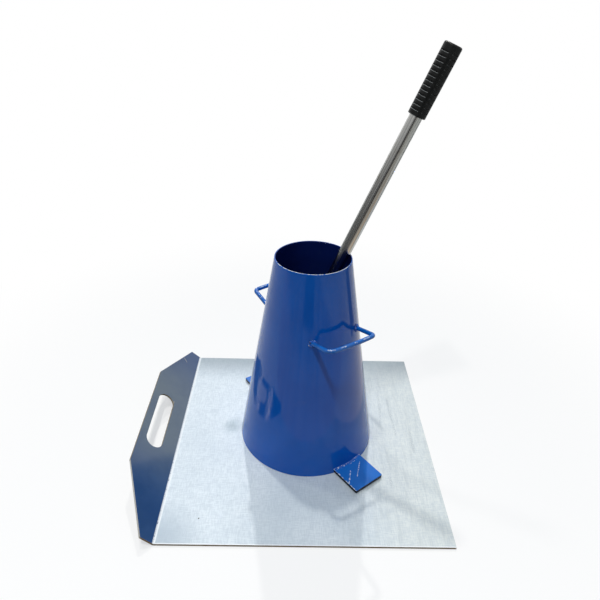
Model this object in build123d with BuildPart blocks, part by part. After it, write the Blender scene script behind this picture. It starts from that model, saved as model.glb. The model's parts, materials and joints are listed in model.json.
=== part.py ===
from build123d import *
import os
from math import asin, atan2, cos, degrees, hypot, radians, sin, sqrt

os.makedirs("parts", exist_ok=True)

# A slump-test set: a painted steel cone that stands on a bent sheet plate, and the tamping rod
# that leans in it. The Z axis is the cone's axis, and Z = 0 is the underside of the plate.

# Base plate: one sheet, with its left edge bent up into a carry flap
sheet = 3.0
plate_width = 382.0  # flat part, from the bend to the right edge
plate_depth = 390.0
plate_shift_x = -3.2  # middle of the flat part, seen from the cone's axis
plate_shift_y = -17.3
flap_length = 65.0  # up the flap, from the bend to its outer edge
flap_angle = 42.0  # above the floor
bend_radius = 2.0  # on the inside of the bend
corner_rise = 20.0  # straight part of the flap's ends, below the cut corners
corner_cut = 98.5  # cut corner, measured along the flap's outer edge
slot_length = 110.0
slot_width = 28.0
slot_margin = 11.5  # from the slot to the flap's outer edge

# Cone: a rolled frustum, open at both ends, inside sizes
cone_height = 300.0
mouth_radius = 50.0
base_radius = 100.0
wall = 1.5
seam_azimuth = 80.0
seam_width = 5.0
seam_rise = 0.8

# Handles: round bar bent into a shallow U, its ends welded to the cone
handle_bar = 6.0
handle_height = 207.5  # of the welds, above the foot of the cone
handle_width = 73.0  # between the middles of the two legs
handle_leg = 37.0  # from the welds out to the grip, seen from above
handle_lift = 8.3  # of the grip above the welds
handle_bend = 7.0
handle_tight_bend = 5.0  # the bar is bent by hand, one corner tighter than the other
handle_azimuths = (-56.4, 123.6)

# Feet: flat plates at the base of the cone, for the operator to stand on
right_foot_length = 43.8
left_foot_length = 50.5
right_foot_azimuth = -52.9
left_foot_azimuth = 123.6
foot_width = 50.0
foot_sheet = 5.0
foot_lift = 1.0  # of the foot's underside above the plate
foot_corner = 1.0
foot_bead = 2.2  # leg of the weld bead
foot_bead_margin = 2.0  # from the bead's ends to the foot's sides

# Tamping rod: it stands on the plate and leans on the rim of the cone
rod_diameter = 16.0
rod_length = 600.0  # from its rounded tip to the top of the grip
rod_stand = 22.6  # from the middle of its tip to the inside of the cone's foot
rod_offset = 8.5  # of its upright plane behind the cone's axis
rest_gap = 0.3  # under the tip
lean_gap = 0.45  # beside the rim

# Grip: a moulded sleeve pushed onto the rod, with four panels of cross grooves
grip_diameter = 22.0
grip_length = 83.0
grip_cap = 3.0  # closed end above the rod
grip_fit = 0.05
grip_edge = 1.5
groove_count = 13
groove_width = 2.6
groove_depth = 1.9  # at the middle of a panel, where its flat floor is nearest to the rod
panel_count = 4  # with a plain strip between each two
strip_turn = -8.0  # of the strips about the rod, from straight ahead
top_collar = 8.2  # plain ends beyond the grooves
bottom_collar = 5.6

# Places that follow from the sizes
up = Vector(0, 0, 1)
from_base = (Align.CENTER, Align.CENTER, Align.MIN)
cone_top = sheet + cone_height
cone_slope = atan2(base_radius - mouth_radius, cone_height)
outer_base = base_radius + wall / cos(cone_slope)
outer_mouth = mouth_radius + wall / cos(cone_slope)


def outer_radius(height):
    """Radius of the cone's outer face at a height above its foot."""
    return outer_base + (outer_mouth - outer_base) * height / cone_height


def heading(azimuth):
    """Level direction away from the cone's axis."""
    return Vector(cos(radians(azimuth)), sin(radians(azimuth)), 0)


def trim_to_cone():
    """Cuts the piece that is being built to the cone's outer face, so that it seats there."""
    with Locations((0, 0, sheet)):
        Cone(outer_base, outer_mouth, cone_height, align=from_base, mode=Mode.SUBTRACT)


def finish_piece(piece, name):
    """Labels a piece and writes its file."""
    piece.label = name
    export_step(piece, f"parts/{name}.step")


# Base plate: the sheet follows its own top face round the bend
flap_face = Plane(
    origin=(plate_shift_x - plate_width / 2, plate_shift_y, sheet),
    x_dir=(0, 1, 0),
    z_dir=(sin(radians(flap_angle)), 0, cos(radians(flap_angle))),
)
bend_corner = flap_face.origin
right_edge = bend_corner + Vector(plate_width, 0, 0)
flap_edge = bend_corner + flap_face.y_dir * flap_length

with BuildPart() as base_plate:
    with BuildLine():
        FilletPolyline(right_edge, bend_corner, flap_edge, radius=bend_radius)
    with BuildSketch(Plane(origin=right_edge, x_dir=(0, 1, 0), z_dir=(1, 0, 0))):
        Rectangle(plate_depth, sheet, align=(Align.CENTER, Align.MAX))
    sweep()
    with BuildSketch(flap_face):
        for end in (-plate_depth / 2, plate_depth / 2):
            inner = end - corner_cut if end > 0 else end + corner_cut
            Polygon((end, corner_rise), (end, flap_length), (inner, flap_length), align=None)
        with Locations((0, flap_length - slot_margin - slot_width / 2)):
            SlotOverall(slot_length, slot_width)
    extrude(amount=-sheet, mode=Mode.SUBTRACT)
finish_piece(base_plate.part, "base_plate")

# Cone shell
with BuildPart() as cone_shell:
    with BuildSketch(Plane.XZ):
        Polygon(
            (base_radius, sheet),
            (outer_base, sheet),
            (outer_mouth, cone_top),
            (mouth_radius, cone_top),
            align=None,
        )
    revolve(axis=Axis.Z)
finish_piece(cone_shell.part, "cone_shell")

# Seam weld: a low round bead up the back of the cone, flush with its two ends
seam_radius = (seam_width**2 / 4 + seam_rise**2) / (2 * seam_rise)
seam_out = heading(seam_azimuth)
off_wall = seam_out * cos(cone_slope) + up * sin(cone_slope)
up_wall = up * cos(cone_slope) - seam_out * sin(cone_slope)
seam_foot = seam_out * outer_base + up * sheet - off_wall * (seam_radius - seam_rise)

with BuildPart() as cone_seam:
    with BuildSketch(Plane(origin=seam_foot, z_dir=up_wall)):
        Circle(seam_radius)
    extrude(amount=2 * cone_height, both=True)
    with Locations((0, 0, sheet)):
        Cylinder(2 * outer_base, cone_height, align=from_base, mode=Mode.INTERSECT)
    trim_to_cone()
finish_piece(cone_seam.part, "cone_seam")

# Handles: their ends are cut to the cone
half_width = handle_width / 2
weld_reach = sqrt(outer_radius(handle_height) ** 2 - half_width**2)
leg_run = hypot(handle_leg, handle_lift)
leg_start = -2 * handle_bar  # inside the cone, before the end is cut

with BuildPart() as handles:
    for azimuth in handle_azimuths:
        outward = heading(azimuth)
        along = up.cross(outward)
        leg = (outward * handle_leg + up * handle_lift).normalized()
        handle_face = Plane(
            origin=outward * weld_reach + up * (sheet + handle_height),
            x_dir=along,
            z_dir=along.cross(leg),
        )
        with BuildLine(handle_face) as bar:
            FilletPolyline(
                (-half_width, leg_start),
                (-half_width, leg_run),
                (half_width, leg_run),
                (half_width, leg_start),
                radius=(handle_bend, handle_tight_bend),
            )
        with BuildSketch(Plane(origin=bar.line @ 0, z_dir=bar.line % 0)):
            Circle(handle_bar / 2)
        sweep()
    trim_to_cone()
finish_piece(handles.part, "handles")

# Feet and their weld beads
foot_top = sheet + foot_lift + foot_sheet
bead_reach = outer_radius(foot_lift + foot_sheet)
bead_arc = 2 * degrees(asin((foot_width / 2 - foot_bead_margin) / bead_reach))

for side, azimuth, foot_length in (
    ("right", right_foot_azimuth, right_foot_length),
    ("left", left_foot_azimuth, left_foot_length),
):
    outward = heading(azimuth)
    foot_face = Plane(origin=up * (sheet + foot_lift), x_dir=outward, z_dir=up)

    with BuildPart() as foot:
        with BuildSketch(foot_face):
            Rectangle(outer_base + foot_length, foot_width, align=(Align.MIN, Align.CENTER))
        extrude(amount=foot_sheet)
        uprights = foot.edges().filter_by(Axis.Z)
        fillet(uprights.sort_by(Axis((0, 0, 0), outward))[-2:], foot_corner)
        trim_to_cone()
    finish_piece(foot.part, f"foot_{side}")

    bead_start = heading(azimuth - bead_arc / 2)
    with BuildPart() as foot_weld:
        with BuildSketch(Plane(origin=up * foot_top, x_dir=bead_start, z_dir=bead_start.cross(up))):
            with Locations((bead_reach, 0)):
                Polygon(
                    (-foot_bead, 0), (foot_bead, 0), (-foot_bead, 2 * foot_bead), align=None
                )
        revolve(axis=Axis.Z, revolution_arc=bead_arc)
        trim_to_cone()
    finish_piece(foot_weld.part, f"foot_weld_{side}")

# Tamping rod: its tilt is the tangent from its tip to the rod's own radius about the rim
rod_radius = rod_diameter / 2
tip = Vector(rod_stand - base_radius, rod_offset, sheet + rest_gap + rod_radius)
lean_run = sqrt(mouth_radius**2 - rod_offset**2) - tip.X
lean_rise = cone_top - tip.Z
tilt = atan2(lean_run, lean_rise) - asin((rod_radius + lean_gap) / hypot(lean_run, lean_rise))
rod_up = Vector(sin(tilt), 0, cos(tilt))
rod_face = Plane(origin=tip - rod_up * rod_radius, x_dir=(cos(tilt), 0, -sin(tilt)), z_dir=rod_up)
rod_axis = Axis(rod_face.origin, rod_up)

with BuildPart(rod_face) as tamping_rod:
    with Locations((0, 0, rod_radius)):
        Sphere(rod_radius)
        Cylinder(rod_radius, rod_length - grip_cap - rod_radius, align=from_base)
finish_piece(tamping_rod.part, "tamping_rod")

# Grip: a sleeve bored for the rod; the grooves' flat floors leave the strips at their corners
grip_radius = grip_diameter / 2
grip_base = rod_length - grip_length
groove_floor = grip_radius - groove_depth
groove_run = grip_length - top_collar - bottom_collar - groove_width
groove_starts = [
    grip_base + bottom_collar + groove_run * step / (groove_count - 1) for step in range(groove_count)
]

with BuildPart(rod_face) as rod_grip:
    with Locations((0, 0, grip_base)):
        Cylinder(grip_radius, grip_length, align=from_base)
        chamfer(rod_grip.edges().sort_by(rod_axis)[-1], grip_edge)
        Cylinder(
            rod_radius + grip_fit, grip_length - grip_cap, align=from_base, mode=Mode.SUBTRACT
        )
    with BuildSketch(*(rod_face.offset(start) for start in groove_starts)):
        Circle(grip_diameter)
        RegularPolygon(
            groove_floor, panel_count, major_radius=False, rotation=strip_turn, mode=Mode.SUBTRACT
        )
    extrude(amount=groove_width, mode=Mode.SUBTRACT)
finish_piece(rod_grip.part, "rod_grip")
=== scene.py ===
import json
from math import asin, atan2, cos, hypot, pi, radians, sin, sqrt, tan
import bmesh
import bpy
from mathutils import Matrix, Vector


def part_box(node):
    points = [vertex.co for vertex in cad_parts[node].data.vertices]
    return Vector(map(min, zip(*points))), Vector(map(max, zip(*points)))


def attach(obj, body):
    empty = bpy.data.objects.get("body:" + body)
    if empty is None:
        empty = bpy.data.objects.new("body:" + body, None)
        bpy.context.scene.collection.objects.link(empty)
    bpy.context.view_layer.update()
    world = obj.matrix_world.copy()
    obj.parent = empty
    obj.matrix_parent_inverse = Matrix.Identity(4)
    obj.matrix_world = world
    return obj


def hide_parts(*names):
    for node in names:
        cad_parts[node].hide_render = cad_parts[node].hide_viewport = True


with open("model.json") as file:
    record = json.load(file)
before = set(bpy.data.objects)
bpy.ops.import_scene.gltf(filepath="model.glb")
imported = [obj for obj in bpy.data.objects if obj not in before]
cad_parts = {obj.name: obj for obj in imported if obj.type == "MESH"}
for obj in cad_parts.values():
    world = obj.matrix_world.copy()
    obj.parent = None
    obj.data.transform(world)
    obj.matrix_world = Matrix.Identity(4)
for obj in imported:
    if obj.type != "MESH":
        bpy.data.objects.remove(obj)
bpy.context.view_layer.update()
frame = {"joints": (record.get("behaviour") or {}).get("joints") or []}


# Base plate. One galvanised steel sheet, sheared to size, its left edge folded up into a carry flap
# with cut corners and a punched hand slot. The flat part is bare zinc, the flap is sprayed blue, and
# the sheared edges show bare steel.
sheet = 0.003
sheet_edge = 0.0003  # how far a sheared edge is rubbed round
flap_length = 0.065
flap_angle = radians(42)
bend_radius = 0.002
bend_steps = 6
corner_rise = 0.020
corner_cut = 0.0985
slot_length = 0.110
slot_width = 0.028
slot_margin = 0.0115
slot_steps = 24  # round each end
plate_low, plate_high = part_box("base_plate")
plate_middle = (plate_low.y + plate_high.y) / 2
plate_half = (plate_high.y - plate_low.y) / 2
bend_x = plate_low.x + flap_length * cos(flap_angle) + sheet * sin(flap_angle)
bend_start = bend_x + bend_radius * tan(flap_angle / 2)
slot_rise = flap_length - slot_margin - slot_width / 2
slot_straight = (slot_length - slot_width) / 2
dark_patch_spot = (-0.1150, -0.0010, sheet)
roll_marks = [  # each from end to end, then its width and how much of it is missing
    ((0.1268, 0.0932, sheet), (0.1213, 0.0121, sheet), 0.003, 0.48),
    ((0.1389, 0.0704, sheet), (0.1413, -0.0156, sheet), 0.003, 0.48),
    ((0.1645, -0.0040, sheet), (0.1637, -0.0509, sheet), 0.003, 0.48),
    ((0.1190, -0.1010, sheet), (0.1200, -0.1190, sheet), 0.003, 0.48),
]
dark_specks = [((-0.1437, -0.1739, sheet), (-0.1433, -0.1736, sheet), 0.0012, 0.0)]
flap_scratches = [
    ((-0.2141, 0.0322, 0.0209), (-0.2141, 0.0330, 0.0209), 0.0011, 0.0),
    ((-0.2173, 0.1478, 0.0238), (-0.2122, 0.1421, 0.0192), 0.0008, 0.3),
]


def flap_point(across, rise):
    """A point of the flap's upper face."""
    return Vector((bend_x - rise * cos(flap_angle), across, sheet + rise * sin(flap_angle)))


def take_mesh(name, shape):
    """Makes a mesh of a shape that is worked out, and lets the shape go."""
    mesh = bpy.data.meshes.new(name)
    shape.to_mesh(mesh)
    shape.free()
    return mesh


def on_bench(name, thing):
    """Puts a mesh, a lamp or the camera in the scene as an object."""
    placed = bpy.data.objects.new(name, thing)
    bpy.context.scene.collection.objects.link(placed)
    return placed


def settle(source):
    """Turns an object with its modifiers into a plain mesh, and removes the object."""
    bpy.context.view_layer.update()
    ready = source.evaluated_get(bpy.context.evaluated_depsgraph_get())
    mesh = bpy.data.meshes.new_from_object(ready)
    bpy.data.objects.remove(source)
    return mesh


def rub_edges(blank, width, segments):
    """Rounds the sharp edges of a blank."""
    rub = blank.modifiers.new("rubbed_edges", "BEVEL")
    rub.width = width
    rub.segments = segments
    rub.limit_method = "ANGLE"
    rub.angle_limit = radians(50)


def soften(mesh, angle):
    """Shades a mesh smooth, apart from edges that turn more than an angle."""
    mesh.shade_smooth()
    mesh.set_sharp_from_angle(angle=angle)


def fit_piece(name, mesh, body, slot, *nodes):
    """Adds a finished piece, which moves with its body and stands for the nodes that it shows, if any."""
    piece = on_bench(name, mesh)
    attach(piece, body)
    if nodes:
        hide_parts(*nodes)


outline = bmesh.new()
rows = [(plate_high.x, sheet), (bend_start + bend_radius, sheet)]
for turn in range(bend_steps + 1):
    angle = flap_angle * turn / bend_steps
    rows.append((bend_start - bend_radius * sin(angle), sheet + bend_radius * (1 - cos(angle))))
rows.append(tuple(flap_point(0, 2 * bend_radius).xz))
fronts = [outline.verts.new((x, plate_low.y, z)) for x, z in rows]
backs = [outline.verts.new((x, plate_high.y, z)) for x, z in rows]
for i in range(len(rows) - 1):
    outline.faces.new((fronts[i], backs[i], backs[i + 1], fronts[i + 1]))

flap_corners = [
    (plate_low.y, corner_rise),
    (plate_low.y + corner_cut, flap_length),
    (plate_high.y - corner_cut, flap_length),
    (plate_high.y, corner_rise),
]
flap_verts = [fronts[-1]] + [outline.verts.new(flap_point(*c)) for c in flap_corners] + [backs[-1]]
flap_edges = [outline.edges.new(pair) for pair in zip(flap_verts, flap_verts[1:])]
flap_edges.append(outline.edges.get((fronts[-1], backs[-1])))
slot_verts = []
for end in (1, -1):
    for turn in range(slot_steps + 1):
        angle = pi * turn / slot_steps - end * pi / 2
        reach = slot_width / 2
        across = plate_middle + end * slot_straight + reach * cos(angle)
        slot_verts.append(outline.verts.new(flap_point(across, slot_rise + reach * sin(angle))))
flap_edges += [outline.edges.new(pair) for pair in zip(slot_verts, slot_verts[1:] + slot_verts[:1])]
bmesh.ops.triangle_fill(outline, use_beauty=True, edges=flap_edges)
for face in outline.faces:
    face.normal_update()
    if face.normal.z < 0:
        face.normal_flip()
    face.material_index = 1 if face.calc_center_median().x < rows[-2][0] else 0
plate_mesh = take_mesh("base_plate_sheet", outline)


def srgb(red, green, blue):
    """A colour as it looks on a screen, 0 to 255, as the shader wants it."""
    return tuple(
        c / 12.92 if c <= 0.04045 else ((c + 0.055) / 1.055) ** 2.4
        for c in (red / 255, green / 255, blue / 255)
    ) + (1.0,)


def feed(node, inputs):
    """Sets a node's inputs, each from a plain value or from another node of its tree."""
    for socket, value in inputs.items():
        if isinstance(value, bpy.types.NodeSocket):
            node.id_data.links.new(value, node.inputs[socket])
        else:
            node.inputs[socket].default_value = value


def add_node(kind, inputs, **settings):
    """Adds a node to the tree that its inputs come from."""
    source = next(value for value in inputs.values() if isinstance(value, bpy.types.NodeSocket))
    node = source.id_data.nodes.new(kind)
    for setting, value in settings.items():
        setattr(node, setting, value)
    feed(node, inputs)
    return node


def put(kind, inputs, **settings):
    """Adds a node and gives its first output."""
    return add_node(kind, inputs, **settings).outputs[0]


def sums(operation, *values):
    """One sum on numbers. A product, or the least or most of several numbers, is taken two by two."""
    if operation in ("MULTIPLY", "MINIMUM", "MAXIMUM") and len(values) > 2:
        values = (sums(operation, *values[:-1]), values[-1])
    return put("ShaderNodeMath", dict(enumerate(values)), operation=operation)


def times(*values):
    """The product of numbers."""
    return sums("MULTIPLY", *values)


def minus(value, less):
    """One number less another."""
    return sums("SUBTRACT", value, less)


def arrows(operation, *values):
    """One sum on vectors. A length, a distance or a dot product comes out as a number."""
    node = add_node("ShaderNodeVectorMath", dict(enumerate(values)), operation=operation)
    return node.outputs["Value" if operation in ("DOT_PRODUCT", "LENGTH", "DISTANCE") else "Vector"]


def axes(place):
    """The X, Y and Z of a place."""
    return add_node("ShaderNodeSeparateXYZ", {0: place}).outputs


def from_axes(x=0.0, y=0.0, z=0.0):
    """The place with an X, a Y and a Z."""
    return put("ShaderNodeCombineXYZ", {0: x, 1: y, 2: z})


def fade(value, low, high):
    """Goes smoothly from 0 to 1 as a value goes from low to high."""
    inputs = {"Value": value, "From Min": low, "From Max": high}
    return put("ShaderNodeMapRange", inputs, interpolation_type="SMOOTHSTEP")


def apart(value, middle):
    """How far a value is from a middle, either way."""
    return sums("ABSOLUTE", minus(value, middle))


def near(value, middle, outer, inner):
    """Goes smoothly from 0 to 1 as a value comes from outer to inner, on either side of a middle."""
    return fade(apart(value, middle), outer, inner)


def between(share, low, high):
    """Goes evenly from low to high as a share goes from 0 to 1."""
    inputs = {"Value": share, "To Min": low, "To Max": high}
    return put("ShaderNodeMapRange", inputs)


def lay(mask, under, over, amount=1.0):
    """Lays one colour over another by a mask, in full or by a lesser amount."""
    if amount < 1.0:
        mask = times(mask, amount)
    return add_node("ShaderNodeMix", {0: mask, 6: under, 7: over}, data_type="RGBA").outputs[2]


def grain(place, size, stretch=(1, 1, 1), detail=2.0):
    """Random grain of a size in metres, drawn out along the axes that have a large stretch."""
    scale = tuple(1 / size / s for s in stretch)
    spread = put("ShaderNodeMapping", {"Vector": place, "Scale": scale})
    inputs = {"Vector": spread, "Scale": 1.0, "Detail": detail}
    return put("ShaderNodeTexNoise", inputs)


def patches(given, detail):
    """Random patches in a shared effect, of the size that is given to it."""
    scale = sums("DIVIDE", 1.0, given["Size"])
    inputs = {"Vector": given["Place"], "Scale": scale, "Detail": detail}
    return put("ShaderNodeTexNoise", inputs)


def new_finish(name):
    """A new material: itself, its shader and the place on the piece."""
    finish = bpy.data.materials.new(name)
    finish.use_nodes = True
    nodes = finish.node_tree.nodes
    return finish, nodes["Principled BSDF"], nodes.new("ShaderNodeTexCoord").outputs["Object"]


def bump(height, depth, strength=1.0):
    """The normal of a skin that is uneven by a depth in metres."""
    inputs = {"Height": height, "Distance": depth, "Strength": strength}
    return put("ShaderNodeBump", inputs)


def new_group(name, inputs, outputs, kind="ShaderNodeTree"):
    """A node group with named sockets: itself, what comes in, and its output node."""
    tree = bpy.data.node_groups.new(name, kind)
    for way, sockets in (("INPUT", inputs), ("OUTPUT", outputs)):
        for socket, form in sockets.items():
            tree.interface.new_socket(socket, in_out=way, socket_type="NodeSocket" + form)
    return tree, tree.nodes.new("NodeGroupInput").outputs, tree.nodes.new("NodeGroupOutput")


def effect(group, inputs, output="Mask"):
    """Places a shared effect in a material, with its own values."""
    return add_node("ShaderNodeGroup", inputs, node_tree=group).outputs[output]


# Smudges, dust and stains: soft random patches
smudge, given, out = new_group(
    "smudge",
    {"Place": "Vector", "Size": "Float", "Thin": "Float", "Full": "Float"},
    {"Mask": "Float"},
)
feed(out, {"Mask": fade(patches(given, 4.0), given["Thin"], given["Full"])})


def smudged(place, size, thin, full):
    """A mask of smudges, which begin where their grain is above thin and are whole above full."""
    return effect(smudge, {"Place": place, "Size": size, "Thin": thin, "Full": full})


# Scratches: a line between two points, broken up by grain
scratch, given, out = new_group(
    "scratch",
    {"Place": "Vector", "From": "Vector", "To": "Vector", "Width": "Float", "Gaps": "Float"},
    {"Mask": "Float"},
)
run = arrows("SUBTRACT", given["To"], given["From"])
aside = arrows("SUBTRACT", given["Place"], given["From"])
share = arrows("DOT_PRODUCT", aside, run)
share = sums("DIVIDE", share, arrows("DOT_PRODUCT", run, run))
share = put("ShaderNodeClamp", {"Value": share})
away = arrows("DISTANCE", aside, arrows("MULTIPLY", run, share))
line = fade(away, given["Width"], times(given["Width"], 0.3))
skips = grain(given["Place"], 0.0016)
skips = fade(skips, given["Gaps"], sums("ADD", given["Gaps"], 0.08))
feed(out, {"Mask": times(line, skips)})


def scratched(place, mask, marks):
    """Adds scratches to a mask, each of them two ends, a width and its gaps."""
    for first, last, width, gaps in marks:
        inputs = {"Place": place, "From": first, "To": last, "Width": width, "Gaps": gaps}
        mask = sums("MAXIMUM", mask, effect(scratch, inputs))
    return mask


# Chips: paint lost along an edge, less and less with the distance from it
chips, given, out = new_group(
    "chips",
    {"Place": "Vector", "Distance": "Float", "Reach": "Float", "Size": "Float", "Amount": "Float"},
    {"Mask": "Float"},
)
level = minus(given["Amount"], sums("DIVIDE", given["Distance"], given["Reach"]))
level = sums("ADD", patches(given, 3.0), level)
feed(out, {"Mask": fade(level, 0.97, 1.03)})


def chipped(place, distance, reach, size, amount):
    """A mask of chips along an edge that is at a distance from the place."""
    inputs = {"Place": place, "Distance": distance, "Reach": reach, "Size": size, "Amount": amount}
    return effect(chips, inputs)


# Enamel: the slow change of tone and the fine orange peel of sprayed paint
enamel, given, out = new_group("enamel", {"Place": "Vector"}, {"Tone": "Float", "Peel": "Float"})
feed(out, {
    "Tone": fade(grain(given["Place"], 0.05, detail=4.0), 0.3, 0.7),
    "Peel": grain(given["Place"], 0.0024, detail=1.0),
})


def sprayed(place, dark, light):
    """The colour of sprayed paint, which changes slowly between two tones."""
    return lay(effect(enamel, {"Place": place}, "Tone"), dark, light)


def orange_peel(place, depth, strength):
    """The normal of sprayed paint."""
    return bump(effect(enamel, {"Place": place}, "Peel"), depth, strength)


zinc, surface, place = new_finish("bare_zinc")
where = axes(place)
threads = [grain(place, 0.0008, stretch, 1.0) for stretch in ((12, 1, 1), (1, 12, 1))]
linen = fade(sums("ADD", *threads), 0.8, 1.2)
cloud = smudged(place, size=0.110, thin=0.30, full=0.62)
stain = smudged(place, size=0.022, thin=0.60, full=0.78)
# Darker towards the back edge.
back_darkening = fade(where["Y"], plate_high.y - 0.070, plate_high.y)
colour = lay(cloud, srgb(207, 218, 226), srgb(222, 231, 237))
# Lighter towards the left.
left_lighter = fade(where["X"], -0.06, -0.13)
colour = lay(left_lighter, colour, srgb(228, 238, 246), 0.45)
# Lighter and less blue towards the right.
right_tone = fade(where["X"], 0.03, 0.15)
colour = lay(right_tone, colour, srgb(222, 227, 224), 0.75)
corner = arrows("DISTANCE", place, (bend_x, plate_low.y, sheet))
colour = lay(fade(corner, 0.075, 0.015), colour, srgb(160, 176, 190), 0.60)
smear = fade(grain(place, 0.0045, (1, 10, 1), 4.0), 0.46, 0.72)
smear = times(smear, fade(where["X"], -0.02, 0.10))
colour = lay(smear, colour, srgb(172, 182, 186), 0.24)
colour = lay(linen, colour, srgb(180, 193, 204), 0.40)
colour = lay(stain, colour, srgb(160, 174, 186), 0.18)
colour = lay(back_darkening, colour, srgb(142, 155, 164), 0.7)
# A soft dark patch on the plate, left of the cone.
dark_patch = arrows("DISTANCE", place, dark_patch_spot)
dark_patch = sums("MULTIPLY_ADD", grain(place, 0.012), 0.016, dark_patch)
dark_patch = times(fade(dark_patch, 0.032, 0.008), fade(where["Z"], sheet - 0.001, sheet))
colour = lay(dark_patch, colour, srgb(146, 166, 174), 0.55)
colour = lay(scratched(place, 0.0, roll_marks), colour, srgb(128, 142, 154), 0.30)
colour = lay(scratched(place, 0.0, dark_specks), colour, srgb(60, 60, 66))
# Painted highlights: a light line along the bend and along the top of the front edge.
bend_highlight = fade(where["X"], bend_start + 0.0016, bend_start + 0.0004)
lip_highlight = fade(where["Y"], plate_low.y + 0.0022, plate_low.y + 0.0010)
colour = lay(sums("MAXIMUM", bend_highlight, lip_highlight), colour, srgb(242, 246, 249), 0.8)
feed(surface, {
    "Base Color": colour,
    "Metallic": 0.08,
    "Specular IOR Level": 0.2,
    "Roughness": between(linen, 0.48, 0.66),
    "Normal": bump(linen, 0.00006, 0.6),
})

flap_paint, surface, place = new_finish("flap_paint")
where = axes(place)
across = apart(where["Y"], plate_middle)
rise = arrows("SUBTRACT", place, (bend_x, 0, sheet))
rise = arrows("DOT_PRODUCT", rise, (-cos(flap_angle), 0, sin(flap_angle)))
to_outer = minus(flap_length, rise)
to_end = minus(plate_half, across)
cut_run = hypot(corner_cut, flap_length - corner_rise)
to_cut = times(minus(corner_rise, rise), corner_cut / cut_run)
to_cut = sums("MULTIPLY_ADD", to_end, (flap_length - corner_rise) / cut_run, to_cut)
beside = sums("MAXIMUM", 0.0, minus(across, slot_straight))
to_slot = from_axes(beside, minus(rise, slot_rise))
to_slot = minus(arrows("LENGTH", to_slot), slot_width / 2)
to_edge = sums("MINIMUM", to_outer, to_end, to_cut, to_slot)
colour = sprayed(place, srgb(46, 77, 122), srgb(58, 88, 132))
# The middle of the flap is greyer and rougher: partly dust, partly painted sheen.
flap_middle = near(where["Y"], 0.010, 0.17, 0.03)
grey_film = smudged(place, size=0.05, thin=0.2, full=0.75)
grey_film = times(flap_middle, between(grey_film, 0.6, 0.9))
colour = lay(grey_film, colour, srgb(111, 124, 130), 0.95)
lost = chipped(place, to_edge, reach=0.0022, size=0.004, amount=0.45)
lost = scratched(place, lost, flap_scratches)
colour = lay(lost, colour, srgb(176, 170, 156))
# A painted highlight along the bend, broken up by grain.
bend_highlight = fade(rise, 0.0026, 0.0014)
bend_highlight = times(bend_highlight, fade(grain(place, 0.0022), 0.32, 0.44))
colour = lay(bend_highlight, colour, srgb(240, 244, 246))
feed(surface, {
    "Base Color": colour,
    "Specular IOR Level": 0.45,
    "Roughness": between(grey_film, 0.10, 0.20),
    "Normal": orange_peel(place, 0.00002, 0.5),
})

cut_steel, surface, place = new_finish("sheared_steel")
where = axes(place)
tear = grain(place, 0.0007, (1, 1, 12))
rust = smudged(place, size=0.02, thin=0.35, full=0.65)
colour = lay(rust, srgb(150, 142, 124), srgb(128, 112, 84))
side = fade(where["X"], plate_high.x - 0.002, plate_high.x - 0.001)
colour = lay(side, colour, srgb(196, 198, 198), 0.8)
# The cut edge at the flap's front corner is lightened: a painted highlight.
cut_end = plate_low.y + corner_cut
corner = fade(where["Y"], cut_end + 0.004, cut_end - 0.004)
corner = times(corner, fade(where["X"], bend_x - 0.012, bend_x - 0.018))
colour = lay(corner, colour, srgb(230, 231, 229), 0.85)
colour = lay(tear, colour, srgb(92, 82, 64), 0.5)
feed(surface, {
    "Base Color": colour,
    "Metallic": 0.5,
    "Roughness": between(tear, 0.4, 0.7),
    "Normal": bump(tear, 0.0001),
})

for finish in (zinc, flap_paint, cut_steel, cut_steel):  # the last two for the edges of the first two
    plate_mesh.materials.append(finish)
blank = on_bench("base_plate_blank", plate_mesh)
thick = blank.modifiers.new("sheet", "SOLIDIFY")
thick.thickness = sheet
thick.offset = -1
thick.use_even_offset = True
thick.material_offset_rim = 2
rub_edges(blank, sheet_edge, 2)
plate_mesh = settle(blank)
soften(plate_mesh, radians(15))
fit_piece("base_plate_sheet", plate_mesh, "base", "galvanised_sheet", "base_plate")


# Cone shell. Steel sheet of 1.5 mm, rolled into a frustum open at both ends and sprayed with glossy
# blue enamel. Its rim is lighter in broken bits, most of all at the front.
cone_height = 0.300
mouth_radius = 0.050
base_radius = 0.100
wall = 0.0015
cone_edge = 0.0004
cone_sides = 240
wall_shares = (0, 0.01, 0.25, 0.5, 0.75, 0.99, 1)  # of the height, where the wall has a ring of points
cone_top = sheet + cone_height
cone_slope = atan2(base_radius - mouth_radius, cone_height)
outer_base = base_radius + wall / cos(cone_slope)
outer_mouth = mouth_radius + wall / cos(cone_slope)


def round_corners(corners, radii, steps, closed=True):
    """A line through corners, each turned into an arc of its radius, or left sharp where that is 0."""
    line = []
    for i, (corner, radius) in enumerate(zip(corners, radii)):
        corner = Vector(corner)
        if radius == 0 or (not closed and i in (0, len(corners) - 1)):
            line.append(corner)
            continue
        before = (Vector(corners[i - 1]) - corner).normalized()
        after = (Vector(corners[(i + 1) % len(corners)]) - corner).normalized()
        half = before.angle(after) / 2
        middle = corner + (before + after).normalized() * radius / sin(half)
        first = (corner + before * radius / tan(half) - middle).normalized()
        last = (corner + after * radius / tan(half) - middle).normalized()
        line += [middle + first.slerp(last, step / steps) * radius for step in range(steps + 1)]
    return line


def bridge(shape, rings, closed=False):
    """Joins rings of points with faces, each to the next. A ring may be one point, taken many times."""
    pairs = list(zip(rings, rings[1:])) + ([(rings[-1], rings[0])] if closed else [])
    for lower, upper in pairs:
        for i in range(len(lower)):
            j = (i + 1) % len(lower)
            shape.faces.new(dict.fromkeys((lower[i], lower[j], upper[j], upper[i])))


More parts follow.
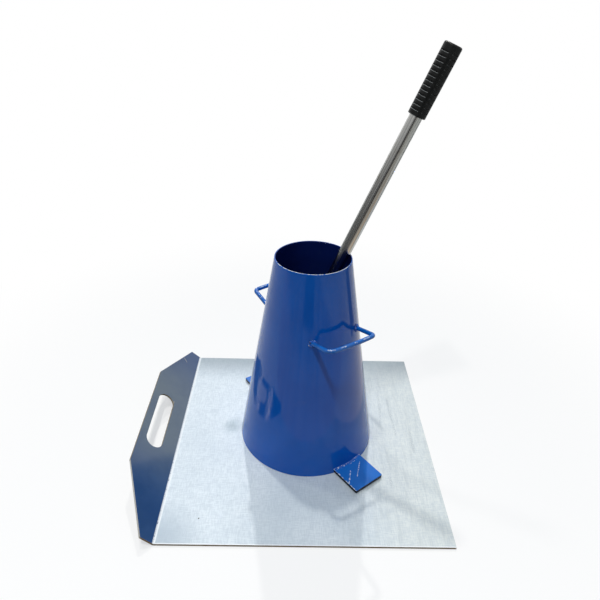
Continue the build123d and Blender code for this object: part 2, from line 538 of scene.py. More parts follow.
def turn_mesh(name, profile, sides, closed=False):
    """Turns a profile of radii and heights about the upright axis."""
    shape = bmesh.new()
    angles = [2 * pi * side / sides for side in range(sides)]
    rings = []
    for radius, height in profile:
        if radius < 1e-6:
            rings.append([shape.verts.new((0, 0, height))] * sides)
        else:
            rings.append([shape.verts.new((radius * cos(a), radius * sin(a), height)) for a in angles])
    bridge(shape, rings, closed)
    bmesh.ops.recalc_face_normals(shape, faces=shape.faces)
    mesh = take_mesh(name, shape)
    mesh.shade_smooth()
    return mesh


def along_wall(radius_low, radius_high, share):
    """A point of a wall's section, at a share of its height."""
    return radius_low + (radius_high - radius_low) * share, sheet + cone_height * share


outer_line = [along_wall(outer_base, outer_mouth, share) for share in wall_shares]
inner_line = [along_wall(base_radius, mouth_radius, share) for share in reversed(wall_shares)]
edge_radii = [cone_edge if share in (0, 1) else 0 for share in wall_shares]
cone_line = round_corners(outer_line + inner_line, edge_radii + edge_radii, 3)
cone_mesh = turn_mesh("cone_shell_sheet", cone_line, cone_sides, closed=True)
middle_wall = (outer_base + base_radius) / 2
for face in cone_mesh.polygons:
    spot = face.center
    share = (spot.z - sheet) / cone_height
    inside = hypot(spot.x, spot.y) < middle_wall + (mouth_radius - base_radius) * share
    face.material_index = 1 if inside else 0

cone_paint, surface, place = new_finish("cone_enamel")
where = axes(place)
colour = sprayed(place, srgb(2, 90, 186), srgb(6, 96, 194))
scuffs = smudged(place, size=0.030, thin=0.62, full=0.80)
colour = lay(scuffs, colour, srgb(70, 100, 160), 0.12)
below_rim = minus(cone_top, where["Z"])
front_rim_amount = between(fade(where["Y"], 0.005, -0.030), 0.10, 0.58)
lost = chipped(place, below_rim, reach=0.0007, size=0.0030, amount=front_rim_amount)
colour = lay(lost, colour, srgb(206, 212, 218))
rolled = grain(place, 0.016, (1, 1, 40), 1.0)
uneven = sums("MULTIPLY_ADD", effect(enamel, {"Place": place}, "Peel"), 0.06, rolled)
feed(surface, {
    "Base Color": colour,
    "Specular IOR Level": 0.36,
    "Roughness": between(scuffs, 0.07, 0.20),
    "Normal": bump(uneven, 0.0002, 0.3),
})

# The inside of the cone: the same enamel, painted darker and duller as shade.
shaded_inside_paint, surface, place = new_finish("cone_inside_shaded")
colour = sprayed(place, srgb(15, 38, 110), srgb(20, 46, 124))
rubbed = smudged(place, size=0.018, thin=0.58, full=0.75)
colour = lay(rubbed, colour, srgb(40, 56, 100), 0.2)
feed(surface, {
    "Base Color": colour,
    "Specular IOR Level": 0.25,
    "Roughness": between(rubbed, 0.3, 0.5),
    "Normal": orange_peel(place, 0.00002, 0.4),
})
cone_mesh.materials.append(cone_paint)
cone_mesh.materials.append(shaded_inside_paint)
fit_piece("cone_shell_sheet", cone_mesh, "cone", "blue_paint", "cone_shell")


# Seam weld. The bead that closes the rolled sheet, laid up the back of the cone in short ripples and
# painted over with it. The same torch work joins the handles and the feet.
seam_azimuth = radians(80)
seam_width = 0.005
seam_rise = 0.0008
seam_shares = (0.009, 0.991)  # of the cone's height, where the seam begins and ends
ripple_reach = 0.85  # half the length of a ripple, in pitches, so that ripples overlap
speck_shift = (0.31, 0.17, 0.05)  # of the light specks' pattern from the dark pits' pattern

weld_bead, given, out = new_group(
    "weld_bead",
    {
        "Path": "Geometry",
        **dict.fromkeys(("Pitch", "Width", "Rise", "Lean", "Unevenness"), "Float"),
        "Seed": "Int",
        "Finish": "Material",
    },
    {"Bead": "Geometry"},
    "GeometryNodeTree",
)


def level_out(place):
    """The level way from the upright axis to a place."""
    return arrows("MULTIPLY", place, (1, 1, 0))


path = put("GeometryNodeMeshToCurve", {0: given["Path"]})
even_steps = {"Curve": path, "Length": given["Pitch"]}
path = put("GeometryNodeResampleCurve", even_steps, mode="LENGTH")
outward = level_out(weld_bead.nodes.new("GeometryNodeInputPosition").outputs[0])
upward = from_axes(z=sums("TANGENT", given["Lean"]))
face_out = arrows("ADD", arrows("NORMALIZE", outward), upward)
tangent = weld_bead.nodes.new("GeometryNodeInputTangent").outputs[0]
turned = put(
    "FunctionNodeAxesToRotation",
    {0: arrows("NORMALIZE", face_out), 1: tangent},
    primary_axis="Z",
    secondary_axis="X",
)
size = from_axes(times(given["Pitch"], ripple_reach), times(given["Width"], 0.5), given["Rise"])
swell = add_node(
    "FunctionNodeRandomValue",
    {
        2: minus(1.0, given["Unevenness"]),
        3: sums("ADD", 1.0, given["Unevenness"]),
        "Seed": given["Seed"],
    },
    data_type="FLOAT",
).outputs[1]
ripple = weld_bead.nodes.new("GeometryNodeMeshIcoSphere")
feed(ripple, {"Radius": 1.0, "Subdivisions": 3})
size = arrows("MULTIPLY", size, swell)
ripples = {"Points": path, "Instance": ripple.outputs[0], "Rotation": turned, "Scale": size}
bead = put("GeometryNodeInstanceOnPoints", ripples)
bead = put("GeometryNodeRealizeInstances", {0: bead})
bead = put("GeometryNodeSetShadeSmooth", {0: bead})
bead = put("GeometryNodeSetMaterial", {0: bead, "Material": given["Finish"]})
feed(out, {"Bead": bead})


def run_tree(source, group, values):
    """Works a blank with a node group and gives its plain mesh. Values go in by name."""
    work = source.modifiers.new(group.name, "NODES")
    work.node_group = group
    for socket in group.interface.items_tree:
        if socket.in_out == "INPUT" and socket.name in values:
            work[socket.identifier] = values[socket.name]
    return settle(source)


def lay_bead(name, points, closed, values):
    """Lays a weld bead along a line of points."""
    count = len(points)
    edges = [(i, (i + 1) % count) for i in range(count if closed else count - 1)]
    path = bpy.data.meshes.new(name)
    path.from_pydata(points, edges, [])
    return run_tree(on_bench(name, path), weld_bead, values)


weld_paint, surface, place = new_finish("painted_weld")
colour = sprayed(place, srgb(22, 92, 188), srgb(30, 104, 202))
height = axes(place)["Z"]
at_foot = fade(height, 0.06, 0.03)
wall_here = outer_base + sheet * tan(cone_slope)
wall_here = sums("MULTIPLY_ADD", height, -tan(cone_slope), wall_here)
off_wall = minus(arrows("LENGTH", level_out(place)), wall_here)
# Painted shade: dark spots in the bead and a dark line along its toe on the wall.
pit_shade = smudged(place, size=0.0022, thin=0.53, full=0.60)
pit_shade = sums("MAXIMUM", pit_shade, fade(off_wall, 0.0009, 0.0003))
pit_shade = times(pit_shade, between(at_foot, 1.0, 0.2))
colour = lay(pit_shade, colour, srgb(12, 16, 26))
# Light specks on the bead.
speck_place = put("ShaderNodeMapping", {"Vector": place, "Location": speck_shift})
thin = between(at_foot, 0.64, 0.57)
light_specks = smudged(speck_place, size=0.0030, thin=thin, full=sums("ADD", thin, 0.06))
colour = lay(light_specks, colour, srgb(222, 230, 240))
feed(surface, {
    "Base Color": colour,
    "Roughness": between(pit_shade, 0.2, 0.7),
    "Normal": bump(grain(place, 0.0012), 0.0002, 0.5),
})

seam_line = [
    Vector((radius * cos(seam_azimuth), radius * sin(seam_azimuth), height))
    for radius, height in (along_wall(outer_base, outer_mouth, share) for share in seam_shares)
]
seam_mesh = lay_bead("cone_seam_bead", seam_line, False, {
    "Pitch": 0.0026,
    "Width": seam_width,
    "Rise": seam_rise,
    "Lean": cone_slope,
    "Unevenness": 0.12,
    "Seed": 3,
    "Finish": cone_paint,
})
fit_piece("cone_seam_bead", seam_mesh, "cone", "blue_paint", "cone_seam")


# Handles. Round bar of 6 mm, bent by hand into a shallow U with one bend tighter than the other and
# its grip bowed a little outwards. The ends are coped to the cone and welded all round.
bar_radius = 0.003
bar_sides = 24
handle_height = 0.2075
handle_half = 0.0365
handle_leg = 0.037
handle_lift = 0.0083
handle_bow = 0.002
near_bend = 0.0095
far_bend = 0.005
corner_steps = 10  # round each bend
grip_steps = 16  # between the bends
leg_steps = 6
handle_azimuths = (radians(-56.4), radians(123.6))
highlight_stretches = ((9, 12), (13, 15), (18, 20), (24, 25), (28, 31))  # from point to point of the bar
highlight_offset = Vector((0, -0.55, 0.83)) * bar_radius  # from the bar's middle to its upper front, where the painted highlight runs
weld_ring = 0.0036
weld_points = 32
weld_lift = 0.0005  # of the bead's middle above the wall
end_depth = 0.0006  # of the bar's end in the wall
up = Vector((0, 0, 1))


def outer_radius(height):
    """Radius of the cone's outer face at a height above its foot."""
    return outer_base - (outer_base - outer_mouth) * height / cone_height


def to_wall(point, direction, depth):
    """Moves a point along a direction, the shorter way, to the cone's outer face or a depth below it."""
    slope = (outer_base - outer_mouth) / cone_height
    reach = outer_base - depth / cos(cone_slope) - slope * (point.z - sheet)
    change = -slope * direction.z
    a = direction.x**2 + direction.y**2 - change**2
    b = point.x * direction.x + point.y * direction.y - reach * change
    c = point.x**2 + point.y**2 - reach**2
    root = sqrt(b * b - a * c)
    return point + direction * min((-b - root) / a, (-b + root) / a, key=abs)


def points_between(first, last, steps):
    """The points that cut a straight line into even steps."""
    return [first.lerp(last, step / steps) for step in range(1, steps)]


bars = bmesh.new()
bead_rings = []
highlight_marks = []
leg_run = hypot(handle_leg, handle_lift) - handle_bow / 3  # the bow takes the grip out again
corners = [(-handle_half, 0), (-handle_half, leg_run), (handle_half, leg_run), (handle_half, 0)]
bend_radii = [0, near_bend, far_bend, 0]
line = round_corners(corners, bend_radii, corner_steps, closed=False)
bent = corner_steps + 2  # points up to the end of the first bend
line[bent:bent] = points_between(line[bent - 1], line[bent], grip_steps)
line[1:1] = points_between(line[0], line[1], leg_steps)
line[-1:-1] = points_between(line[-2], line[-1], leg_steps)
bowed = [Vector((p.x, p.y + handle_bow * (1 - (p.x / handle_half) ** 2))) for p in line]
weld_reach = sqrt(outer_radius(handle_height) ** 2 - handle_half**2)
for azimuth in handle_azimuths:
    outward = Vector((cos(azimuth), sin(azimuth), 0))
    along = up.cross(outward)
    leg = (outward * handle_leg + up * handle_lift).normalized()
    across_bar = along.cross(leg)
    weld_middle = outward * weld_reach + up * (sheet + handle_height)
    path = [weld_middle + along * p.x + leg * p.y for p in bowed]
    rings = []
    for i, middle in enumerate(path):
        run = (path[min(i + 1, len(path) - 1)] - path[max(i - 1, 0)]).normalized()
        sideways = run.cross(across_bar)
        ring = []
        for side in range(bar_sides):
            angle = 2 * pi * side / bar_sides
            spot = middle + (across_bar * cos(angle) + sideways * sin(angle)) * bar_radius
            if i in (0, len(path) - 1):
                spot = to_wall(spot, leg, end_depth)
            ring.append(bars.verts.new(spot))
        rings.append(ring)
    bridge(bars, rings)
    bars.faces.new(rings[0])
    bars.faces.new(rings[-1])
    for first, last in highlight_stretches:
        highlight_marks.append((path[first] + highlight_offset, path[last] + highlight_offset, 0.0011, 0.46))
    for end in (path[0], path[-1]):
        ring = []
        for turn in range(weld_points):
            angle = 2 * pi * turn / weld_points
            spot = end + (across_bar * cos(angle) + along * sin(angle)) * weld_ring
            ring.append(to_wall(spot, leg, -weld_lift))
        bead_rings.append(ring)
bmesh.ops.recalc_face_normals(bars, faces=bars.faces)
handle_mesh = take_mesh("handle_bars", bars)
soften(handle_mesh, radians(40))

handle_paint, surface, place = new_finish("handle_enamel")
colour = sprayed(place, srgb(8, 98, 186), srgb(14, 108, 198))
patch = smudged(place, size=0.020, thin=0.45, full=0.60)
# Chips in the paint, and a painted highlight in broken lines along the upper front of each bar.
chips_and_highlights = times(smudged(place, size=0.004, thin=0.66, full=0.72), patch)
chips_and_highlights = scratched(place, chips_and_highlights, highlight_marks)
colour = lay(chips_and_highlights, colour, srgb(196, 208, 222))
feed(surface, {
    "Base Color": colour,
    "Specular IOR Level": 0.4,
    "Roughness": between(patch, 0.14, 0.26),
    "Normal": orange_peel(place, 0.00006, 0.6),
})
handle_mesh.materials.append(handle_paint)
fit_piece("handle_bars", handle_mesh, "cone", "blue_paint", "handles")
for i, ring in enumerate(bead_rings):
    mesh = lay_bead(f"handle_weld_{i + 1}", ring, True, {
        "Pitch": 0.0023,
        "Width": 0.0036,
        "Rise": 0.0017,
        "Lean": cone_slope,
        "Unevenness": 0.25,
        "Seed": 10 + i,
        "Finish": weld_paint,
    })
    fit_piece(f"handle_weld_{i + 1}", mesh, "cone", "blue_paint")


# Feet. Flat bar of 5 mm, sheared to length, where the operator stands to hold the cone down. Each is
# cut to the cone's foot and welded along its top; boots have scuffed the paint and blunted its edges.
foot_lengths = {"right": 0.0438, "left": 0.0505}
foot_azimuths = {"right": radians(-52.9), "left": radians(123.6)}
foot_half = 0.025
foot_sheet = 0.005
foot_lift = 0.001
foot_corner = 0.0012
foot_edge = 0.0004
foot_inner = 0.1000  # inside the cone's wall, at the foot's own height
inner_steps = 12  # each way along the inner end
bead_margin = 0.002
rub_reach = 0.0028  # out from the wall, to where the paint is rubbed along the bead
bead_steps = 20  # each way along the weld
spared = 0.0012  # one side and the end are chipped less, as if they were this much further off
foot_top = sheet + foot_lift + foot_sheet
bead_reach = outer_radius(foot_lift + foot_sheet)
bead_half = asin((foot_half - bead_margin) / bead_reach)
boot_marks = {
    "right": [
        ((0.0776, -0.0781, foot_top), (0.0719, -0.1044, foot_top), 0.0009, 0.48),
        ((0.0628, -0.0954, foot_top), (0.0590, -0.1170, foot_top), 0.0009, 0.44),
        ((0.0602, -0.1098, foot_top), (0.0604, -0.1104, foot_top), 0.0014, 0.00),
        ((0.0590, -0.1166, foot_top), (0.0588, -0.1174, foot_top), 0.0014, 0.00),
    ],
    "left": [
        ((-0.0553, 0.1049, foot_top), (-0.0700, 0.1190, foot_top), 0.0008, 0.47),
        ((-0.0669, 0.0900, foot_top), (-0.0802, 0.1028, foot_top), 0.0008, 0.50),
        ((-0.0742, 0.0884, foot_top), (-0.0768, 0.0909, foot_top), 0.0010, 0.40),
    ],
}

for side, azimuth in foot_azimuths.items():
    foot_end = outer_base + foot_lengths[side]
    swing = asin(foot_half / foot_inner)
    angles = [swing * step / inner_steps for step in range(inner_steps, -inner_steps - 1, -1)]
    inner = [(foot_inner * cos(angle), foot_inner * sin(angle)) for angle in angles]
    outer = [(foot_end, -foot_half), (foot_end, foot_half)]
    corner_radii = [0] * len(inner) + [foot_corner] * len(outer)
    turn = Matrix.Rotation(azimuth, 3, "Z")
    shape = bmesh.new()
    underside = [
        shape.verts.new(turn @ Vector((p.x, p.y, sheet + foot_lift)))
        for p in round_corners(inner + outer, corner_radii, 4)
    ]
    flat = shape.faces.new(underside)
    lifted = bmesh.ops.extrude_face_region(shape, geom=[flat])["geom"]
    lifted = [v for v in lifted if isinstance(v, bmesh.types.BMVert)]
    bmesh.ops.translate(shape, verts=lifted, vec=(0, 0, foot_sheet))
    bmesh.ops.recalc_face_normals(shape, faces=shape.faces)
    foot_mesh = take_mesh(f"foot_{side}_bar", shape)

    foot_paint, surface, place = new_finish(f"foot_{side}_enamel")
    own = put("ShaderNodeMapping", {"Vector": place, "Rotation": (0, 0, -azimuth)})
    where = axes(own)
    to_worn_side = sums("ADD", foot_half, where["Y"])
    to_other_side = minus(foot_half + spared, where["Y"])
    to_end = minus(foot_end + spared, where["X"])
    to_edge = sums("MINIMUM", to_worn_side, to_other_side, to_end)
    below_top = minus(foot_top, where["Z"])
    colour = sprayed(place, srgb(22, 108, 198), srgb(30, 116, 208))
    # The sides are near black from just below the top face down.
    dark_sides = fade(below_top, 0.0003, 0.0006)
    colour = lay(dark_sides, colour, srgb(6, 8, 13), 0.97)
    lost = chipped(place, to_edge, reach=0.0060, size=0.0024, amount=0.54)
    to_bead = apart(arrows("LENGTH", level_out(place)), bead_reach + rub_reach)
    rubbed = chipped(place, to_bead, reach=0.0026, size=0.0026, amount=0.44)
    lost = scratched(place, sums("MAXIMUM", lost, rubbed), boot_marks[side])
    lost = times(lost, minus(1.0, dark_sides))
    colour = lay(lost, colour, srgb(238, 242, 247))
    feed(surface, {
        "Base Color": colour,
        "Specular IOR Level": 0.16,
        "Roughness": between(lost, 0.22, 0.6),
        "Normal": orange_peel(place, 0.00003, 0.6),
    })
    foot_mesh.materials.append(foot_paint)
    blank = on_bench(f"foot_{side}_blank", foot_mesh)
    rub_edges(blank, foot_edge, 3)
    foot_mesh = settle(blank)
    soften(foot_mesh, radians(12))
    fit_piece(f"foot_{side}_bar", foot_mesh, "cone", "blue_paint", f"foot_{side}")

    bead_line = []
    for step in range(-bead_steps, bead_steps + 1):
        angle = azimuth + bead_half * step / bead_steps
        bead_line.append(Vector((bead_reach * cos(angle), bead_reach * sin(angle), foot_top)))
    bead_mesh = lay_bead(f"foot_weld_{side}_bead", bead_line, False, {
        "Pitch": 0.0024,
        "Width": 0.0044,
        "Rise": 0.0016,
        "Lean": radians(45),
        "Unevenness": 0.2,
        "Seed": 20 if side == "right" else 21,
        "Finish": weld_paint,
    })
    fit_piece(f"foot_weld_{side}_bead", bead_mesh, "cone", "blue_paint", f"foot_weld_{side}")


# Tamping rod. Bright drawn steel bar of 16 mm with a rounded end, polished along its length. Dark and
# light streaks run up it, partly polish marks and partly painted reflection. It stands on the plate and
# leans on the rim of the cone.
rod_radius = 0.008
rod_length = 0.600
rod_edge = 0.001
rod_sides = 96
dome_steps = 12
shaft_start = 0.012  # first ring of points above the rounded end
grip_cap = 0.003
rod_tip = Vector((-0.0774, 0.0085, 0.0113))  # middle of the rounded end
rod_up = Vector(next(joint["axis"] for joint in frame["joints"] if joint["name"] == "rod_draw"))
rod_tilt = atan2(rod_up.x, rod_up.z)
rod_place = Matrix.Translation(rod_tip - rod_up * rod_radius) @ Matrix.Rotation(rod_tilt, 4, "Y")
rod_head = rod_length - grip_cap
dome_angles = [pi / 2 * step / dome_steps for step in range(dome_steps + 1)]
rod_line = [(rod_radius * sin(angle), rod_radius * (1 - cos(angle))) for angle in dome_angles]
shaft_rings = (shaft_start, rod_head - 2 * rod_edge, rod_head - rod_edge)
rod_line += [(rod_radius, height) for height in shaft_rings]
rod_line += [(rod_radius - rod_edge, rod_head), (0, rod_head)]
rod_mesh = turn_mesh("tamping_rod_bar", rod_line, rod_sides)
rod_mesh.transform(rod_place)


def along_rod(place, start):
    """A place as the rod has it: Z runs up the rod from a start, and X and Y across it."""
    inputs = {"Vector": place, "Location": rod_place @ Vector((0, 0, start)), "Rotation": (0, rod_tilt, 0)}
    return put("ShaderNodeMapping", inputs, vector_type="TEXTURE")


bright_steel, surface, place = new_finish("bright_bar")
own = along_rod(place, 0)
# Streaks along the rod: partly polish marks, partly painted reflection.
polish_and_reflection_streak = grain(own, 0.0022, (1, 1, 120), 3.0)
fine = grain(own, 0.0007, (1, 1, 60), 2.0)
ramp = add_node("ShaderNodeValToRGB", {0: polish_and_reflection_streak})
tones = ramp.color_ramp.elements
tones[0].position = 0.34
tones[0].color = srgb(148, 149, 149)
tones[1].position = 0.62
tones[1].color = srgb(206, 206, 203)
tones.new(0.47).color = srgb(184, 185, 183)
colour = lay(fine, ramp.outputs[0], srgb(120, 118, 114), 0.35)
haze = smudged(own, size=0.012, thin=0.60, full=0.80)
colour = lay(haze, colour, srgb(150, 140, 122), 0.4)
feed(surface, {
    "Base Color": colour,
    "Metallic": 1.0,
    "Roughness": between(fine, 0.12, 0.24),
    "Normal": bump(fine, 0.00003, 0.5),
})
rod_mesh.materials.append(bright_steel)
fit_piece("tamping_rod_bar", rod_mesh, "rod", "bright_steel", "tamping_rod")


# Grip. A black moulded sleeve pushed onto the rod and closed at its top. Cross grooves with flat
# floors cut it into four panels, with a plain strip between each two. Grey dust lies on it in patches;
# the groove floors are painted darker as shade, and the groove lips carry a painted highlight.
grip_radius = 0.011
grip_length = 0.083
grip_bore = 0.00805
grip_sides = 128
top_round = 0.0022
bottom_round = 0.0008
top_wall = 0.004  # down from the top to a ring of points on the straight wall
bottom_wall = 0.002  # up from the bottom to another
groove_count = 13
groove_width = 0.0026
groove_depth = 0.0019
groove_lip = 0.0007
lip_steps = (0, 0.2, 0.32, 0.42, 0.5, 0.58, 0.68, 0.8, 0.9, 1)
strip_azimuth = radians(-98)
lit_panel_azimuth = radians(-143)  # middle of the panel that faces the lamps, where the painted highlight on the lips is strongest
top_collar = 0.0082
bottom_collar = 0.0056
grip_base = rod_length - grip_length
groove_floor = grip_radius - groove_depth
groove_pitch = (grip_length - top_collar - bottom_collar - groove_width) / (groove_count - 1)

grip_grooves, given, out = new_group(
    "grip_grooves",
    {
        "Sleeve": "Geometry",
        **dict.fromkeys(("First groove", "Pitch", "Count", "Width", "Floor", "Lip"), "Float"),
        **dict.fromkeys(("Outer wall", "Strip turn"), "Float"),
        "Finish": "Material",
    },
    {"Grip": "Geometry"},
    "GeometryNodeTree",
)


def over_panels(outward, turn):
    """How far a point stands out over the four panels between strips that are turned by an angle."""
    inputs = {"Vector": outward, "Angle": turn}
    turned = put("ShaderNodeVectorRotate", inputs, rotation_type="Z_AXIS", invert=True)
    parts = axes(arrows("ABSOLUTE", turned))
    return times(sums("ADD", parts["X"], parts["Y"]), sqrt(0.5))


spot = grip_grooves.nodes.new("GeometryNodeInputPosition").outputs[0]
outward = level_out(spot)
step = minus(axes(spot)["Z"], given["First groove"])
step = sums("DIVIDE", step, given["Pitch"])
number = sums("FLOOR", sums("ADD", step, 0.0001))
into = times(minus(step, number), given["Pitch"])
lip_gap = sums("MINIMUM", into, minus(given["Width"], into))
lip_gap = put("ShaderNodeClamp", {"Value": sums("DIVIDE", lip_gap, given["Lip"])})
hollow = sums("POWER", lip_gap, 4.0)
past_first = sums("GREATER_THAN", number, -0.5)
up_to_last = sums("LESS_THAN", number, given["Count"])
outside = sums("GREATER_THAN", arrows("LENGTH", outward), given["Outer wall"])
left = sums("DIVIDE", given["Floor"], over_panels(outward, given["Strip turn"]))
cut = minus(sums("MINIMUM", left, 1.0), 1.0)
cut = arrows("MULTIPLY", outward, times(hollow, cut, past_first, up_to_last, outside))
grip = put("GeometryNodeSetPosition", {"Geometry": given["Sleeve"], "Offset": cut})
grip = put("GeometryNodeRealizeInstances", {0: grip})
grip = put("GeometryNodeSetMaterial", {0: grip, "Material": given["Finish"]})
feed(out, {"Grip": grip})

black_grip, surface, place = new_finish("black_moulding")
own = along_rod(place, grip_base)
height = axes(own)["Z"]
pebble = grain(place, 0.0009)
grey_film = smudged(place, size=0.010, thin=0.50, full=0.80)
colour = lay(pebble, srgb(16, 17, 17), srgb(28, 29, 29))
colour = lay(grey_film, colour, srgb(70, 70, 72), 0.15)
outward = level_out(own)
reach = arrows("LENGTH", outward)
# Painted shade: darker in the grooves.
groove_shade = fade(reach, grip_radius - 0.0003, grip_radius - 0.0010)
colour = lay(groove_shade, colour, srgb(7, 7, 8))
into = sums("FLOORED_MODULO", minus(height, bottom_collar), groove_pitch)
# A painted highlight along the groove lips, strongest on the panel that faces the lamps.
lip_highlight = near(into, 0.6 * groove_lip, 0.0005, 0.0002)
on_panel = sums("DIVIDE", over_panels(outward, strip_azimuth), reach)
panel_edge = groove_floor / grip_radius
on_panel = fade(on_panel, panel_edge, panel_edge + 0.04)
below_collar = sums("LESS_THAN", height, grip_length - top_collar)
lit_panel = arrows("NORMALIZE", outward)
lit_panel = arrows("DOT_PRODUCT", lit_panel, (cos(lit_panel_azimuth), sin(lit_panel_azimuth), 0))
lit_panel = between(fade(lit_panel, 0.3, 0.8), 0.03, 0.65)
lip_highlight = times(lip_highlight, on_panel, below_collar, lit_panel)
colour = lay(lip_highlight, colour, srgb(136, 140, 141))
feed(surface, {
    "Base Color": colour,
    "Specular IOR Level": 0.16,
    "Roughness": between(grey_film, 0.34, 0.6),
    "Normal": bump(pebble, 0.00008, 0.5),
})

heights = []
for groove in range(groove_count):
    start = bottom_collar + groove_pitch * groove
    heights += [start + groove_lip * step for step in lip_steps]
    heights += [start + groove_width - groove_lip * step for step in reversed(lip_steps)]
bore_end = grip_length - grip_cap
top = [(0, grip_length), (grip_radius, grip_length), (grip_radius, grip_length - top_wall)]
bottom = [(grip_radius, bottom_wall), (grip_radius, 0), (grip_bore, 0)]
bottom += [(grip_bore, bore_end), (0, bore_end)]
sleeve = round_corners(top, [0, top_round, 0], 6, closed=False)
sleeve += [Vector((grip_radius, height)) for height in reversed(heights)]
sleeve += round_corners(bottom, [0, bottom_round, 0, 0, 0], 4, closed=False)
grip_blank = on_bench("grip_blank", turn_mesh("rod_grip_sleeve", sleeve, grip_sides))
grip_mesh = run_tree(grip_blank, grip_grooves, {
    "First groove": bottom_collar,
    "Pitch": groove_pitch,
    "Count": groove_count - 0.5,
    "Width": groove_width,
    "Floor": groove_floor,
    "Lip": groove_lip,
    "Outer wall": (grip_radius + grip_bore) / 2,
    "Strip turn": strip_azimuth,
    "Finish": black_grip,
})
grip_mesh.transform(rod_place @ Matrix.Translation((0, 0, grip_base)))
soften(grip_mesh, radians(50))
fit_piece("rod_grip_sleeve", grip_mesh, "rod", "black_grip", "rod_grip")


# Studio. A plain white floor under a row of ceiling lights, one more to the left, and cool even light
# from all round. Enamel and bright steel mirror the room round it: warm boards in front of the plate,
# a darker room beyond them where the camera stands, a post, a window and the tubes on the ceiling.
half_floor = 60.0
floor_drop = 0.0002  # below the plate
white = (1, 1, 1, 1)
off_white = (0.97, 0.97, 0.97, 1)
far_white = (0.92, 0.90, 0.85, 1)
lit_white = (1.0, 0.96, 0.90, 1)
board_tones = ((0.70, 0.55, 0.43, 1), (0.84, 0.69, 0.54, 1))
room_tones = ((0.36, 0.33, 0.29, 1), (0.60, 0.56, 0.50, 1))
room_end = (0.20, 0.20, 0.20, 1)
post_grey = (0.22, 0.22, 0.24, 1)
stand_black = (0.13, 0.11, 0.11, 1)
thrown_back = (0.42, 0.40, 0.37, 1)  # the light that the floor throws back at the object
cool_light = (0.46, 0.97, 1.50, 1)
board_end = -0.48  # the boards begin at the plate and give way to the room from here on
lamp_colour = (1.0, 0.965, 0.91)

floor_paint, surface, place = new_finish("floor_paint")
nodes = floor_paint.node_tree.nodes
rays = nodes.new("ShaderNodeLightPath").outputs
mirrored = rays["Is Glossy Ray"]
where = axes(place)
far = arrows("LENGTH", place)
bearing = sums("DIVIDE", where["X"], where["Y"])
colour = lay(grain(place, 0.4), off_white, white)
colour = lay(times(mirrored, fade(far, 0.55, 0.90)), colour, far_white)
post = near(sums("DIVIDE", where["Y"], where["X"]), 0.30, 0.16, 0.13)
post = times(mirrored, post, fade(where["X"], 0.48, 0.52))
colour = lay(post, colour, post_grey)
streaks = fade(grain(from_axes(bearing), 0.16), 0.40, 0.58)
inside = times(mirrored, fade(where["X"], 0.72, 0.55))
boards = times(inside, fade(where["Y"], plate_low.y, plate_low.y - 0.004))
colour = lay(boards, colour, lay(streaks, *board_tones))
room = times(inside, fade(where["Y"], board_end, -0.72))
dark = lay(streaks, *room_tones)
dark = lay(fade(where["X"], -0.9, -2.0), dark, room_end)
stand = times(near(bearing, 0.14, 0.22, 0.20), fade(where["Y"], -0.90, -0.98))
colour = lay(room, colour, lay(stand, dark, stand_black))
colour = lay(rays["Is Diffuse Ray"], colour, thrown_back)
feed(surface, {
    "Base Color": colour,
    "Roughness": 0.9,
    "Specular IOR Level": 0.0,
})
beside = fade(where["X"], plate_high.x, plate_high.x + 0.004)
lit = times(mirrored, beside, fade(far, 0.50, 0.38), fade(where["Y"], -0.28, -0.18))
shown = lay(lit, lay(mirrored, white, colour), lit_white)
bright = put("ShaderNodeEmission", {"Color": shown})
lit_boards = times(boards, fade(where["Y"], board_end, -0.30))
share = between(fade(far, 0.30, 0.80), 0.62, 1.0)
share = sums("MAXIMUM", times(rays["Is Camera Ray"], share), lit, lit_boards)
blend = put("ShaderNodeMixShader", {0: share, 1: surface.outputs[0], 2: bright})
feed(nodes["Material Output"], {"Surface": blend})
floor_mesh = bpy.data.meshes.new("floor")
floor_corners = [(x * half_floor, y * half_floor, 0) for x, y in ((-1, -1), (1, -1), (1, 1), (-1, 1))]
floor_mesh.from_pydata(floor_corners, [], [(0, 1, 2, 3)])
floor_mesh.materials.append(floor_paint)
floor = on_bench("floor", floor_mesh)
floor.location.z = -floor_drop

world = bpy.data.worlds.new("studio")
bpy.context.scene.world = world
world.use_nodes = True
nodes = world.node_tree.nodes
rays = nodes.new("ShaderNodeLightPath").outputs
mirrored = rays["Is Glossy Ray"]
seen = sums("MAXIMUM", rays["Is Camera Ray"], rays["Is Transmission Ray"])
where = axes(nodes.new("ShaderNodeTexCoord").outputs["Generated"])
room = between(fade(where["Z"], -0.05, 0.12), 0.10, 0.16)
room = sums("MULTIPLY_ADD", fade(where["Z"], 0.14, 0.22), 0.62, room)
window = sums("DIVIDE", where["X"], sums("MINIMUM", where["Y"], -0.01))
window = times(near(window, 0.85, 0.70, 0.35), fade(where["Z"], -0.10, 0.05))
room = sums("MULTIPLY_ADD", window, 0.36, room)
behind = fade(sums("MULTIPLY_ADD", where["X"], 1.1, where["Y"]), -0.50, -0.15)
room = sums("MAXIMUM", room, behind)
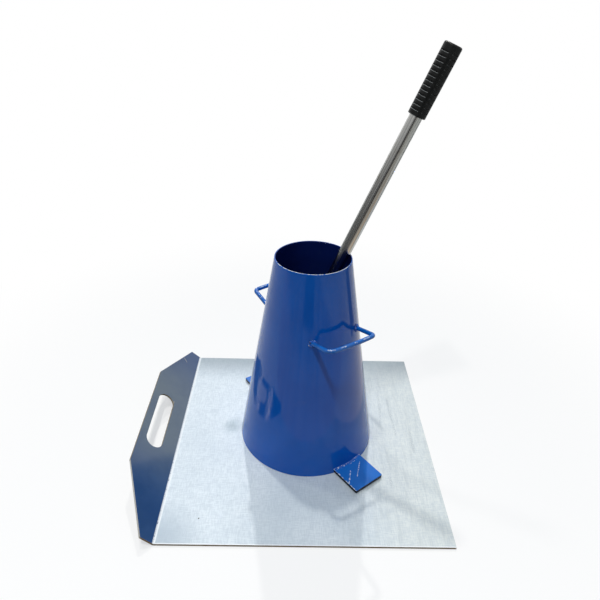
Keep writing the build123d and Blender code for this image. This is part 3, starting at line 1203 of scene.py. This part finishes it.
# Two tubes in one line on the ceiling. They are strong only where one mirror shows them in another,
# as the cone does with the flap, because that is where their streaks are seen.
overhead = sums("MAXIMUM", where["Z"], 0.01)
beside_tubes = sums("DIVIDE", where["X"], overhead)
along_tubes = apart(sums("DIVIDE", where["Y"], overhead), 0.04)
along_tubes = near(along_tubes, 0.28, 0.12, 0.06)
again = sums("GREATER_THAN", rays["Glossy Depth"], 1.5)
tube_strength = between(again, 4.0, 60.0)
tubes = times(near(beside_tubes, 0.42, 0.08, 0.05), along_tubes, tube_strength)
strengths = {0: mirrored, 2: between(seen, 0.12, 1.0), 3: sums("ADD", tubes, room)}
feed(nodes["Background"], {
    "Color": lay(sums("MAXIMUM", seen, mirrored), cool_light, white),
    "Strength": put("ShaderNodeMix", strengths),
})


def add_lamp(name, shines_from, spread, strength):
    """A far lamp that shines evenly from one direction, with soft-edged shadows."""
    light = bpy.data.lights.new(name, "SUN")
    light.angle = spread
    light.energy = strength
    light.color = lamp_colour
    lamp = on_bench(name, light)
    lamp.location = shines_from
    lamp.rotation_euler = Vector(shines_from).to_track_quat("Z", "Y").to_euler()


add_lamp("lamp_back", (-0.005, 0.98, 1.0), radians(1.5), 0.85)
add_lamp("lamp_high", (-0.085, 0.365, 1.0), radians(2), 0.66)
add_lamp("lamp_left", (-0.32, 0.35, 1.0), radians(3.5), 0.28)

tube_distance = 2.4
tube_way = Vector((-0.14, -0.27, 1.0)).normalized()  # from the object
tube_run = Vector((-0.3, 0.95, 0))  # roughly along the tube
tube_light = bpy.data.lights.new("tube_front", "AREA")
tube_light.shape = "RECTANGLE"
tube_light.size = 0.06
tube_light.size_y = 0.28
tube_light.energy = 23.0
tube_light.color = lamp_colour
tube_run = (tube_run - tube_way * tube_run.dot(tube_way)).normalized()
turned = Matrix((tube_run.cross(tube_way), tube_run, tube_way)).transposed()
tube = on_bench("tube_front", tube_light)
tube.matrix_world = Matrix.Translation(tube_way * tube_distance) @ turned.to_4x4()

camera_place = (-0.0303, -0.6439, 0.6141)
yaw, pitch, roll = radians(1.29), radians(30.37), radians(-1.86)
lens = bpy.data.cameras.new("camera")
lens.sensor_width = 36.0
lens.lens = 32.54
lens.clip_end = 1000
ahead = Vector((sin(yaw) * cos(pitch), cos(yaw) * cos(pitch), -sin(pitch)))
level = Vector((cos(yaw), -sin(yaw), 0))
down = ahead.cross(level)
right = level * cos(roll) + down * sin(roll)
down = down * cos(roll) - level * sin(roll)
turned = Matrix((right, -down, -ahead)).transposed()
camera = on_bench("camera", lens)
camera.matrix_world = Matrix.Translation(camera_place) @ turned.to_4x4()
bpy.context.scene.camera = camera
bpy.context.scene.view_settings.view_transform = "Standard"
